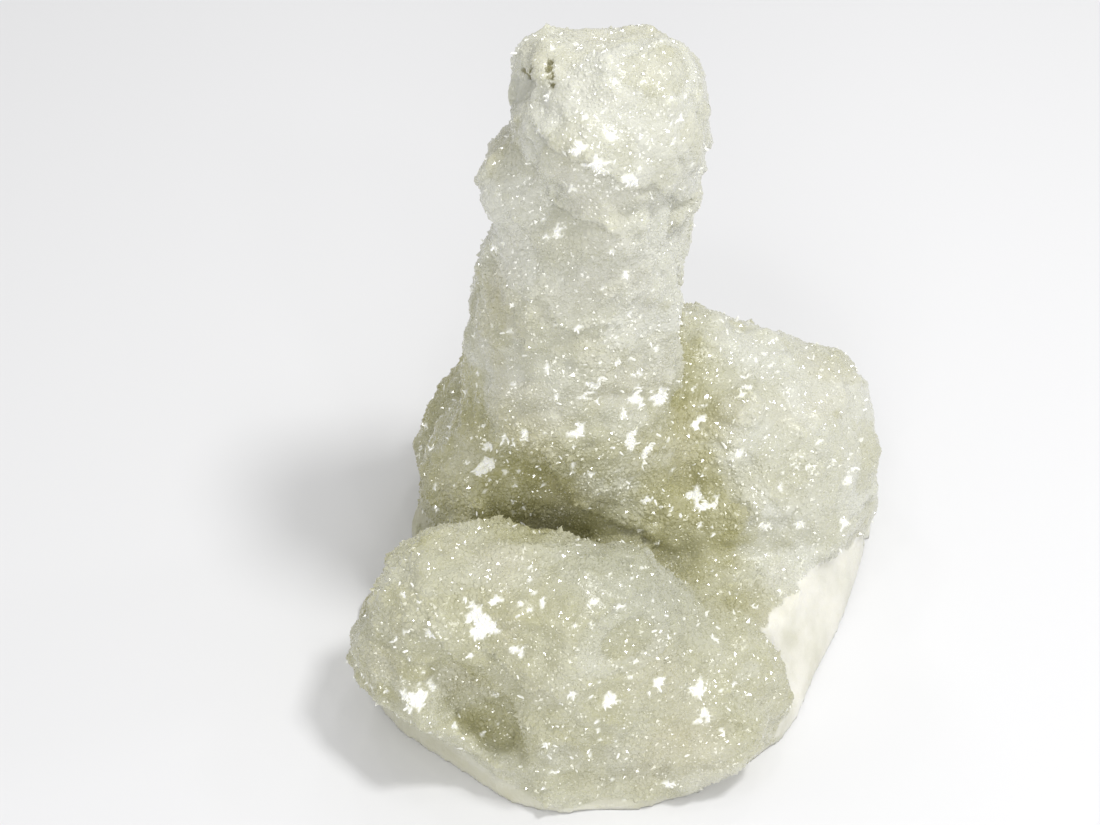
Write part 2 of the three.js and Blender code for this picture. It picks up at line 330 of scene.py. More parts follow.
def front_camera(stage):
    """The front camera's place, and the ways that are right, up and back in its view."""
    right = Vector((1, 0, 0))
    up = Vector((0, math.sin(stage.elevation), math.cos(stage.elevation)))
    back = Vector((0, -math.cos(stage.elevation), math.sin(stage.elevation)))
    return Vector(stage.target) + back * stage.distance, right, up, back


def seen_at(skin, across, down):
    """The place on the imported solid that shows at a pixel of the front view, and the way it faces."""
    stage = bpy.context.scene.quartz_stage
    eye, right, up, back = front_camera(stage)
    focal = stage.lens / SENSOR_WIDTH * VIEW_WIDTH
    sideways = right * (across - VIEW_WIDTH / 2) - up * (down - VIEW_HEIGHT / 2)
    place, facing, _, _ = skin.ray_cast(eye, (sideways / focal - back).normalized())
    if place is None:
        raise ValueError(f"the stone doesn't show at pixel {across}, {down}")
    return np.array(place), np.array(facing)


# Steps in the crust: the marks along each one, the way across the view, right and down, that its
# raised side lies, and its height in millimetres.
LEDGES = {
    "cap's leading edge": (
        ((541, 135), (560, 150), (590, 165), (620, 180), (650, 182), (684, 195)), (1, -1), 2.0
    ),
    "under the cap": (((536, 150), (545, 180), (553, 200), (580, 220), (604, 226)), (1, -0.6), 1.8),
    "middle of the shaft": (((543, 300), (558, 326), (580, 330), (606, 322)), (0.3, -1), 1.5),
    "left of the shaft": (((492, 250), (500, 275), (512, 300), (520, 330)), (1, -0.3), 1.6),
    "column's right foot": (((545, 452), (560, 485), (590, 510), (642, 530)), (1, -1), 2.2),
    "dome's left edge": (
        ((690, 420), (715, 435), (730, 455), (737, 480), (737, 495), (752, 508)), (1, -0.5), 1.0
    ),
    "beside the scoop": (((436, 636), (470, 670), (480, 690), (495, 700), (510, 725)), (1, -0.7), 2.0),
    "above the scoop": (((498, 655), (520, 685), (548, 692)), (1, -1), 1.4),
    "back of the pillow": (((712, 600), (726, 584), (750, 580)), (0.3, 1), 1.4),
}
LEDGE_LIP = 3.2 * MM  # the raised side falls back to the stone's own level over about this
LEDGE_FOOT = 2.4 * MM  # and the hollow at its foot runs out over this


# Painted shade towards olive in the shaded valley, creases, rib, under the crown and on the pillow's
# top, and painted light where the amount is below 0: each zone's mark, its half width in millimetres,
# and how much is added there.
PAINTED_SHADE_AND_LIGHT_ZONES = {
    "valley's wall": (692, 452, 5.0, 0.2),
    "valley's side": (700, 476, 6.0, 0.14),
    "valley's pit": (703, 498, 7.0, 0.2),
    "whole valley": (712, 502, 14.0, 0.2),
    "valley's lip": (722, 518, 6.5, 0.2),
    "valley's mouth": (716, 540, 7.0, 0.16),
    "hollow by the foot": (670, 500, 6.0, 0.2),
    "crease of the foot": (650, 485, 6.0, 0.16),
    "strip behind the pillow": (592, 505, 13.0, -0.3),
    "left of the foot": (540, 480, 9.0, 0.14),
    "column's rib": (480, 318, 12.0, 0.25),
    "rib's foot": (464, 380, 9.0, 0.16),
    "under the crown": (512, 150, 8.0, 0.25),
    "top of the pillow": (605, 545, 12.0, 0.12),
    "scoop": (466, 700, 12.0, -0.1),
}
PLATE_TONE = 0.14  # how much the steps of the crust differ in colour
# How much each stretch of the stone adds to its mix towards olive, from 0 to 1: darker lower down,
# painted shade in the hollows, behind the pillow, on the left side away from the light and on the lit
# cap, and painted light on the dome.
OLIVE_ALL = 0.03
OLIVE_BELOW_CROWN = 0.14
OLIVE_FOOT = 0.37
# painted shade where the foot lies behind the pillow
PAINTED_SHADE_BEHIND_PILLOW = 0.16  # more for the part of the foot behind the pillow
# painted shade in the hollows, more of it below the crown
PAINTED_SHADE_HOLLOW = 0.2
PAINTED_SHADE_LOW_HOLLOW = 0.3  # more for the hollows below the crown
# painted shade on the left side, which faces away from the light, more on the foot behind the pillow
PAINTED_SHADE_LEFT = 0.1
PAINTED_SHADE_LEFT_FOOT = 0.2  # more for the left of the foot behind the pillow
# painted shade that tones down the lit cap
PAINTED_SHADE_CAP = 0.1
OLIVE_SKIRT = 0.1  # taken off near the table
# painted light on the lit dome
PAINTED_LIGHT_DOME = 0.52  # taken off on the dome


def olive_and_shade_of(places, normals, open_share, ragged, plate, skin):
    """How far the quartz is mixed towards olive, from 0 to 1: darker lower down and under the crown,
    painted shade in the hollows, on the left side away from the light, behind the pillow, on the lit cap
    and in the shaded zones, painted light on the dome and in the zones below 0, less near the table, and
    the crust's steps' own tone."""
    x, y, z = places.T
    under_crown = smoothstep(132 * MM, 80 * MM, z)
    foot = smoothstep(82 * MM, 56 * MM, z)
    dome = smoothstep(14 * MM, 34 * MM, x) * smoothstep(-30 * MM, -16 * MM, y) * under_crown
    # painted shade in the hollows, by how little sky each place sees
    hollow = (PAINTED_SHADE_HOLLOW + PAINTED_SHADE_LOW_HOLLOW * under_crown) * (1 - smoothstep(0.42, 0.92, open_share))
    behind_pillow = smoothstep(-40 * MM, -22 * MM, y)
    # painted shade on the left side, which faces away from the light
    facing_left = smoothstep(0.0, 0.9, -normals[:, 0])
    left = (PAINTED_SHADE_LEFT + PAINTED_SHADE_LEFT_FOOT * foot * behind_pillow) * facing_left
    # painted shade that tones down the lit cap
    cap = PAINTED_SHADE_CAP * smoothstep(134 * MM, 148 * MM, z)
    skirt = OLIVE_SKIRT * smoothstep(26 * MM, 8 * MM, z)
    share = OLIVE_ALL + OLIVE_BELOW_CROWN * under_crown
    share += (OLIVE_FOOT + PAINTED_SHADE_BEHIND_PILLOW * behind_pillow) * foot
    # what is taken off on the dome is painted light
    share += hollow + left + cap - skirt - PAINTED_LIGHT_DOME * dome
    # painted shade in the shaded zones, and painted light where a zone's amount is below 0
    for across, down, half, more in PAINTED_SHADE_AND_LIGHT_ZONES.values():
        mark, _ = seen_at(skin, across, down)
        away = np.linalg.norm(places - mark, axis=1) / (half * MM)
        share = share + more * smoothstep(1.04, 0.92, away + 0.4 * ragged)
    return np.clip(share + PLATE_TONE * plate, 0, 0.9)


def ledge_height(places, ragged, skin):
    """How far the steps in LEDGES lift or sink each place."""
    height = np.zeros(len(places))
    _, right, up, _ = front_camera(bpy.context.scene.quartz_stage)
    for marks, (sideways, downwards), rise in LEDGES.values():
        points, facings = zip(*[seen_at(skin, *mark) for mark in marks])
        facing = np.mean(facings, axis=0)
        facing /= np.linalg.norm(facing)
        side = np.array(right * sideways - up * downwards)
        side -= facing * (side @ facing)
        side /= np.linalg.norm(side)
        nearest = np.full(len(places), np.inf)
        across = np.zeros(len(places))
        for here, there in zip(points, points[1:]):
            along = np.clip((places - here) @ (there - here) / ((there - here) @ (there - here)), 0, 1)
            away = places - here - along[:, None] * (there - here)
            distance = np.linalg.norm(away, axis=1)
            closer = distance < nearest
            nearest[closer] = distance[closer]
            across[closer] = (away @ side)[closer]
        across += 1.1 * MM * ragged
        past_end = np.sqrt(np.maximum(nearest**2 - across**2, 0))
        fade = smoothstep(7 * MM, 2.5 * MM, past_end)
        raised = 0.55 * np.exp(-np.maximum(across, 0) / LEDGE_LIP)
        sunk = -0.45 * np.exp(-np.maximum(-across, 0) / LEDGE_FOOT)
        height += rise * MM * fade * np.where(across > 0, raised, sunk)
    return height


def terraces(level):
    """Turns a smooth rise into flat treads and steep risers, as the height over that rise."""
    tread = np.floor(level)
    riser = smoothstep(0.72, 1.0, level - tread)
    return tread + riser - level


# Where the stone is pushed in: the crown's left shoulder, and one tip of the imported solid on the
# crown and one on the dome that stand too high. Each is a middle, a half width and a way, in
# millimetres.
PUSHES = (
    ((-29.5, 20.0, 151.0), 11.0, (4.6, 0.0, -0.8)),
    ((-19.2, 29.0, 158.5), 6.0, (0.0, 0.0, -2.6)),
    ((19.4, 52.1, 54.0), 8.0, (0.0, 0.0, -2.6)),
)

# Small holes in the crown's left shoulder: each one's mark, its half width and its depth in
# millimetres.
CROWN_HOLES = {
    "left, top": (522, 66, 0.9, 1.0),
    "left, foot": (524, 72, 0.8, 1.0),
    "left, inner": (531, 67, 0.7, 0.5),
    "right, top": (550, 62, 0.9, 1.2),
    "right, middle": (549, 69, 1.1, 1.4),
    "right, low": (552, 77, 0.8, 1.0),
    "right, foot": (551, 86, 0.6, 0.8),
}
CROWN_FACE = (517, 87, 3.6)  # the mark and the half width of the bare broken face beside them
HOLE_WAY = (0.0, -0.71, 0.71)  # the way that the holes open
CROWN_REACH = 9 * MM  # how far along that way the holes and the face may reach
FAR = 1.0  # metres, farther than the whole stone
BARE_DEPTH = 1.6 * MM  # how deep the bare face lies under the druse


def crown_distance(places, skin, across, down):
    """How far each place in the crown's front lies from the line through a mark along HOLE_WAY."""
    mark, _ = seen_at(skin, across, down)
    away = places - mark
    along = away @ np.array(HOLE_WAY)
    off_line = np.linalg.norm(away - along[:, None] * np.array(HOLE_WAY), axis=1)
    return np.where(np.abs(along) < CROWN_REACH, off_line, FAR)


def crown_holes(places, ragged, skin):
    """How deep each place lies in the crown's holes, and how far inside one it is from 0 to 1."""
    depth = np.zeros(len(places))
    share = np.zeros(len(places))
    for across, down, half, deep in CROWN_HOLES.values():
        away = crown_distance(places, skin, across, down) / (half * MM) + 0.5 * ragged
        inside = smoothstep(1.5, 0.5, away)
        depth = np.maximum(depth, deep * MM * inside)
        share = np.maximum(share, inside)
    return depth, share


class QUARTZ_OT_stone(bpy.types.Operator):
    """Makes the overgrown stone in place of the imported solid"""

    bl_idname = "quartz.stone"
    bl_label = "Stone"

    def execute(self, context):
        settings = context.scene.quartz_stone
        coarse = merged_copy(frame["nodes"][NODE])
        coarse_places = corners_of(coarse)
        coarse_faces = [tuple(face.vertices) for face in coarse.polygons]
        skin = BVHTree.FromPolygons(coarse_places.tolist(), coarse_faces)
        openness = openness_of(coarse, skin)

        rough = new_object("rough_stone", coarse)
        cells = rough.modifiers.new("cells", "REMESH")
        cells.mode = "VOXEL"
        cells.voxel_size = settings.grain
        calm = rough.modifiers.new("calm", "SMOOTH")
        calm.factor = 0.6
        calm.iterations = 13
        mesh = evaluated_mesh(rough)
        remove_object(rough)
        mesh.name = "quartz_stone"

        places = corners_of(mesh)
        normals = normals_of(mesh)
        for centre, half, way in PUSHES:
            away = np.linalg.norm(places - np.array(centre) * MM, axis=1)
            places += smoothstep(half * MM, 0, away)[:, None] * np.array(way) * MM
        smooth, pale = smooth_share(places, normals)
        druse = 1 - smooth
        ragged = noise_at(places, 3 * MM, 43.0)
        height = settings.lump * (noise_at(places, 9 * MM, 3.0) + 0.7 * noise_at(places, 4.2 * MM, 11.0))
        rise = 2.6 * noise_at(places * np.array([1, 1, 1.5]), 26 * MM, 57.0)
        height += 0.7 * settings.lump * noise_at(places, 2.6 * MM, 211.0)
        height += settings.ledge * terraces(rise + 8.0)
        plate = np.sin(2.4 * np.floor(rise + 8.28 + 0.12 * ragged))
        height += ledge_height(places, ragged, skin)
        height -= settings.pit * smoothstep(0.42, 0.75, noise_at(places, 5.5 * MM, 71.0))
        hole_depth, hole = crown_holes(places, ragged, skin)
        across, down, half = CROWN_FACE
        from_face = crown_distance(places, skin, across, down) / (half * MM)
        bare = smoothstep(1.15, 0.9, from_face + 0.25 * ragged)
        height = height * (1 - bare) - hole_depth - BARE_DEPTH * bare
        places += normals * ((height + settings.swell) * druse)[:, None]
        on_base = places[:, 2] < FLAT_BELOW
        places[on_base, 2] = 0.0
        places[:, 2] = np.maximum(places[:, 2], 0.0)
        set_places(mesh, places)

        open_share = spread_to(places, coarse_places, openness)
        set_attribute(mesh, "smooth", smooth)
        set_attribute(mesh, "pale", pale)
        set_attribute(mesh, "bare", np.maximum(bare, hole))
        set_attribute(mesh, "hole", hole)
        # depth holds the painted shade towards olive in hollows and on shaded sides, painted light on
        # the dome, and the crust's steps' own tone
        set_attribute(mesh, "depth", olive_and_shade_of(places, normals, open_share, ragged, plate, skin))
        clear_middle, _ = seen_at(skin, *CLEAR_ZONE)
        from_clear_zone = np.linalg.norm(places - clear_middle, axis=1)
        set_attribute(mesh, "cool", 0.6 * smoothstep(32 * MM, 8 * MM, from_clear_zone))
        # this paints frosted quartz and highlights white on the stone
        set_attribute(mesh, "frost", frost_and_highlight_at(places, skin) * druse * (1 - hole))
        mesh.materials.clear()
        mesh.materials.append(overgrown_quartz(settings))
        for face in mesh.polygons:
            face.use_smooth = True

        stone = new_object("quartz_stone", mesh)
        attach(stone, BODY)
        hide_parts(NODE)
        return {"FINISHED"}


# ---------------------------------------------------------------------------------------------
# Where the crust is clear, and where it is painted snow-white as frost and as highlights
# ---------------------------------------------------------------------------------------------

CLEAR_ZONE = (648, 565)  # the mark of the clear blue-grey zone's middle, on the pillow

# Patches on the front painted white as frost and as highlights: each one's mark and its half width in
# millimetres.
FROST_AND_HIGHLIGHT_PATCHES = {
    # the pillow
    "star": (481, 621, 3.2),
    "spur over the star": (491, 602, 1.0),
    "right of the star": (523, 605, 1.3),
    "under the star, right": (516, 650, 1.1),
    "left of the star": (430, 637, 1.3),
    "pillow's left edge": (411, 698, 2.6),
    "over the left edge": (431, 685, 1.0),
    "pillow's right, upper": (657, 684, 1.8),
    "pillow's right, middle": (697, 690, 2.3),
    "pillow's right, lower": (706, 715, 1.4),
    "pillow's middle": (609, 700, 1.3),
    "pillow's foot": (669, 781, 1.3),
    # the column's foot
    "foot's left, lower": (487, 466, 2.6),
    "foot's left, upper": (490, 446, 1.6),
    "foot's left, inner": (508, 440, 1.9),
    "foot's left, outer": (522, 435, 1.2),
    "foot's middle": (581, 432, 1.9),
    "foot's crown": (591, 387, 2.0),
    "foot's right, low": (627, 413, 1.4),
    "foot's right, long": (636, 397, 2.0),
    "foot's right, top": (637, 373, 1.3),
    "foot's right, outer": (661, 396, 2.1),
    "over the valley": (631, 440, 1.7),
    "down to the valley": (647, 452, 1.9),
    # the valley
    "valley's floor, left": (646, 500, 1.1),
    "valley's floor, middle": (696, 495, 1.7),
    "valley's floor, right": (710, 504, 1.7),
    # the dome
    "dome's shoulder": (699, 422, 1.5),
    "dome's top": (746, 386, 1.4),
    "dome's edge": (735, 455, 1.2),
    "dome's middle": (802, 466, 1.6),
    "dome's right": (850, 476, 1.7),
    "dome's right, lower": (846, 522, 1.4),
    "dome's foot": (799, 518, 1.5),
    "dome's left foot": (765, 526, 1.5),
    # the shaft and the crown
    "shaft's left": (554, 231, 1.6),
    "shaft's middle": (610, 252, 1.3),
    "shaft's right": (624, 276, 1.0),
    "cap's edge, left": (577, 150, 1.4),
    "cap's edge, middle": (597, 167, 1.9),
    "cap's edge, right": (632, 179, 2.1),
    "under the cap": (570, 185, 1.0),
    "by the holes": (546, 96, 1.1),
    "under the holes": (545, 111, 0.8),
}


def frost_and_highlight_at(places, skin):
    """Where the crust is painted white, 0 or 1 with a narrow edge, as frost and as painted highlights
    and sparkles: the patches on the front, the crumbs round them and scattered ones all round."""
    ragged = noise_at(places, 2.5 * MM, 13.0) + 0.6 * noise_at(places, 1.3 * MM, 19.0)
    crumbs = noise_at(places, 2.0 * MM, 307.0)
    here = smoothstep(0.0, 0.5, noise_at(places, 17 * MM, 203.0))
    crown = smoothstep(100 * MM, 130 * MM, places[:, 2])
    frost = smoothstep(0.6, 0.64, crumbs + 0.13 * here - 0.06 * crown)
    for across, down, half in FROST_AND_HIGHLIGHT_PATCHES.values():
        mark, _ = seen_at(skin, across, down)
        away = np.linalg.norm(places - mark, axis=1) / (half * MM)
        frost = np.maximum(frost, smoothstep(1.02, 0.87, away + 1.3 * ragged))
        frost = np.maximum(frost, smoothstep(0.45, 0.52, crumbs) * (away < 2.2))
    return frost


# ---------------------------------------------------------------------------------------------
# Materials
# ---------------------------------------------------------------------------------------------

CRUMB_WIDTH = 1.1 * MM  # of the jagged edges of the crown's holes
CLOUD_WIDTH = 16 * MM  # of the slow changes between milky and olive
CLOUD_SWAY = 0.9
STAIN_WIDTH = 23 * MM  # of the pink-beige stains
STAIN_MOST = 0.18
VEIL_WIDTH = 12 * MM  # of the paler and darker veils on the ground faces
GRAIN_WIDTH = 0.9 * MM  # of the grown skin's glistening grain


def tinted(tree, settings):
    """Quartz coloured by the depth and frost attributes: milky on the crests, olive as the stone's own
    tone and as painted shade in the hollows and on shaded sides, snow-white in the patches of frost and
    painted highlights, dark with mud and painted shade in the crown's holes, each with slow cloudy
    changes. Returns the colour's socket."""
    place = add_node(tree, "ShaderNodeTexCoord").outputs["Object"]
    known = {}
    for name in ("depth", "frost", "cool", "hole"):
        known[name] = add_node(tree, "ShaderNodeAttribute", attribute_name=name).outputs["Fac"]
    crumbs = add_node(
        tree, "ShaderNodeTexNoise", {"Vector": place, "Scale": 1 / CRUMB_WIDTH, "Detail": 2.0}
    )
    jagged = add_node(
        tree,
        "ShaderNodeMath",
        {0: crumbs.outputs["Fac"], 1: 1.2, 2: known["hole"]},
        operation="MULTIPLY_ADD",
    )
    # mud and painted shade inside the crown's holes, with jagged edges
    hole_mud_and_shade = add_node(
        tree, "ShaderNodeMapRange", {"Value": jagged.outputs[0], "From Min": 1.0, "From Max": 1.35}
    )
    clouds = add_node(
        tree,
        "ShaderNodeTexNoise",
        {"Vector": place, "Scale": 1 / CLOUD_WIDTH, "Detail": 3.0, "Roughness": 0.6},
    )
    shifted = add_node(
        tree, "ShaderNodeMath", {0: clouds.outputs["Fac"], 1: 0.5}, operation="SUBTRACT"
    )
    swayed = add_node(
        tree,
        "ShaderNodeMath",
        {0: shifted.outputs[0], 1: CLOUD_SWAY, 2: known["depth"]},
        operation="MULTIPLY_ADD",
        use_clamp=True,
    )
    stain = add_node(
        tree, "ShaderNodeTexNoise", {"Vector": place, "Scale": 1 / STAIN_WIDTH, "Detail": 2.0}
    )
    stained = add_node(
        tree,
        "ShaderNodeMapRange",
        {"Value": stain.outputs["Fac"], "From Min": 0.5, "From Max": 0.75, "To Max": STAIN_MOST},
    )
    colour = (*settings.milky, 1)
    # the olive mix carries painted shade, the frost mix painted highlights and the dark mix painted
    # shade in the crown's holes
    for factor, over in (
        (swayed.outputs[0], settings.olive_and_shade),
        (stained.outputs[0], settings.warm),
        (known["cool"], settings.cool),
        (known["frost"], settings.frost),
        (hole_mud_and_shade.outputs[0], settings.hole_mud_and_shade),
    ):
        mixed = add_node(
            tree, "ShaderNodeMix", {"Factor": factor, 6: colour, 7: (*over, 1)}, data_type="RGBA"
        )
        colour = mixed.outputs[2]
    return colour


def new_material(name):
    material = bpy.data.materials.new(name)
    material.use_nodes = True
    tree = material.node_tree
    tree.nodes.clear()
    output = add_node(tree, "ShaderNodeOutputMaterial")
    shader = add_node(tree, "ShaderNodeBsdfPrincipled")
    tree.links.new(shader.outputs[0], output.inputs["Surface"])
    return material, tree, shader


def overgrown_quartz(settings):
    """Massive milky quartz, grown over with druse and sawn below: light sinks in and comes back
    soft, fine grain makes it glisten, and its ground faces are paler, with faint veils."""
    material, tree, shader = new_material("milky massive quartz")
    place = add_node(tree, "ShaderNodeTexCoord").outputs["Object"]
    pale = add_node(tree, "ShaderNodeAttribute", attribute_name="pale").outputs["Fac"]
    grown = tinted(tree, settings)
    veils = add_node(
        tree, "ShaderNodeTexNoise", {"Vector": place, "Scale": 1 / VEIL_WIDTH, "Detail": 3.0}
    )
    veiled = add_node(
        tree,
        "ShaderNodeMapRange",
        {"Value": veils.outputs["Fac"], "From Min": 0.35, "From Max": 0.6, "To Min": 0.55},
    )
    share = add_node(tree, "ShaderNodeMath", {0: pale, 1: veiled.outputs[0]}, operation="MULTIPLY")
    both = add_node(
        tree,
        "ShaderNodeMix",
        {"Factor": share.outputs[0], 6: grown, 7: (*settings.sawn, 1)},
        data_type="RGBA",
    )
    grain = add_node(
        tree, "ShaderNodeTexNoise", {"Vector": place, "Scale": 1 / GRAIN_WIDTH, "Detail": 2.0}
    )
    bump = add_node(
        tree, "ShaderNodeBump", {"Height": grain.outputs["Fac"], "Distance": 0.3 * MM, "Strength": 0.7}
    )
    tree.links.new(both.outputs[2], shader.inputs["Base Color"])
    tree.links.new(bump.outputs[0], shader.inputs["Normal"])
    shader.inputs["Roughness"].default_value = 0.3
    shader.inputs["IOR"].default_value = QUARTZ_IOR
    shader.inputs["Subsurface Weight"].default_value = 1.0
    shader.inputs["Subsurface Radius"].default_value = (1.0, 1.0, 0.85)
    shader.inputs["Subsurface Scale"].default_value = 2.5 * MM
    return material


def drusy_quartz(settings):
    """Small milky quartz points under a clear gloss: their flat faces throw back bright glints."""
    material, tree, shader = new_material("drusy quartz points")
    tree.links.new(tinted(tree, settings), shader.inputs["Base Color"])
    shader.inputs["Roughness"].default_value = 0.12
    shader.inputs["IOR"].default_value = QUARTZ_IOR
    shader.inputs["Coat Weight"].default_value = 1.0
    shader.inputs["Coat Roughness"].default_value = 0.06
    shader.inputs["Coat IOR"].default_value = QUARTZ_IOR
    return material


# ---------------------------------------------------------------------------------------------
# The druse
# ---------------------------------------------------------------------------------------------

POINT_SIDES = 6
# Each kind of point, in widths: the lower end of its prism, its shoulder and its tip. Most are only a
# tip and its mirrored root, with no prism between. The last ones are the needles of the points painted
# white as frost and highlights.
POINT_KINDS = (
    (-0.15, -0.15, 0.24),
    (-0.15, -0.15, 0.34),
    (-0.15, -0.15, 0.20),
    (-0.15, -0.15, 0.28),
    (-0.15, -0.15, 0.22),
    (-0.15, -0.15, 0.40),
    (-0.15, -0.15, 0.30),
    (-0.5, 0.03, 0.50),
    (-0.5, 0.10, 0.62),
    (-0.3, 0.45, 0.80),
    (-0.3, 0.30, 0.95),
    (-0.3, 0.62, 0.90),
)
NEEDLE_KINDS = 3
ROOT_DEPTH = 0.5  # of the mirrored root, in widths
TIP_SKEW = 0.14  # how far a tip may lie off the middle, in widths
SHOULDER_LIFT = 0.06  # how far a shoulder's corners may rise or sink, in widths
CORNER_TURN = 0.12  # how far a corner may turn about the middle, in radians


def point_mesh(name, low, shoulder, tip, seed):
    """A quartz point one unit wide, closed below: six unequal faces on a hexagonal prism, or on
    their own mirrored root where the prism has no height."""
    random = np.random.default_rng(seed)
    skew = random.uniform(-TIP_SKEW, TIP_SKEW, 4)
    uneven = random.uniform(-SHOULDER_LIFT, SHOULDER_LIFT, POINT_SIDES)
    turn = random.uniform(-CORNER_TURN, CORNER_TURN, POINT_SIDES)
    angles = [math.tau * n / POINT_SIDES + turn[n] for n in range(POINT_SIDES)]
    ring = [(0.5 * math.cos(angle), 0.5 * math.sin(angle)) for angle in angles]
    corners = [(x, y, shoulder + lift) for (x, y), lift in zip(ring, uneven)]
    corners.append((skew[0], skew[1], tip))
    above = POINT_SIDES
    faces = [(n, (n + 1) % POINT_SIDES, above) for n in range(POINT_SIDES)]
    if shoulder > low:
        first = len(corners)
        corners += [(x, y, low) for x, y in ring]
        for n in range(POINT_SIDES):
            after = (n + 1) % POINT_SIDES
            faces.append((first + n, first + after, after, n))
        faces.append(tuple(first + n for n in reversed(range(POINT_SIDES))))
    else:
        corners.append((skew[2], skew[3], -ROOT_DEPTH))
        below = len(corners) - 1
        faces += [((n + 1) % POINT_SIDES, n, below) for n in range(POINT_SIDES)]
    mesh = bpy.data.meshes.new(name)
    mesh.from_pydata(corners, [], faces)
    mesh.update()
    return mesh


def point_kinds():
    """A collection of the kinds of point that the crust is grown from."""
    kinds = bpy.data.collections.new("point_kinds")
    for n, sizes in enumerate(POINT_KINDS):
        name = f"point_kind_{n}"
        kinds.objects.link(bpy.data.objects.new(name, point_mesh(name, *sizes, n)))
    return kinds


# stray white points stand for frost and painted sparkles
STRAY_FROST_AND_SPARKLE = 0.007  # share of the points that are frosted outside the patches
PROUD_SHARE = 0.12  # share of the points that stand proud of the rest
PROUD_RISE = 0.8  # how much more those lean and rise
LEAST_WIDTH = 0.5  # of a point, as a share of the widest
HEIGHT_RANGE = (0.75, 1.25)
NEEDLE_LEAN = 1.7  # a frost needle's lean, width and height over those of a plain point
NEEDLE_WIDTH = 0.3
NEEDLE_HEIGHT = 2.4


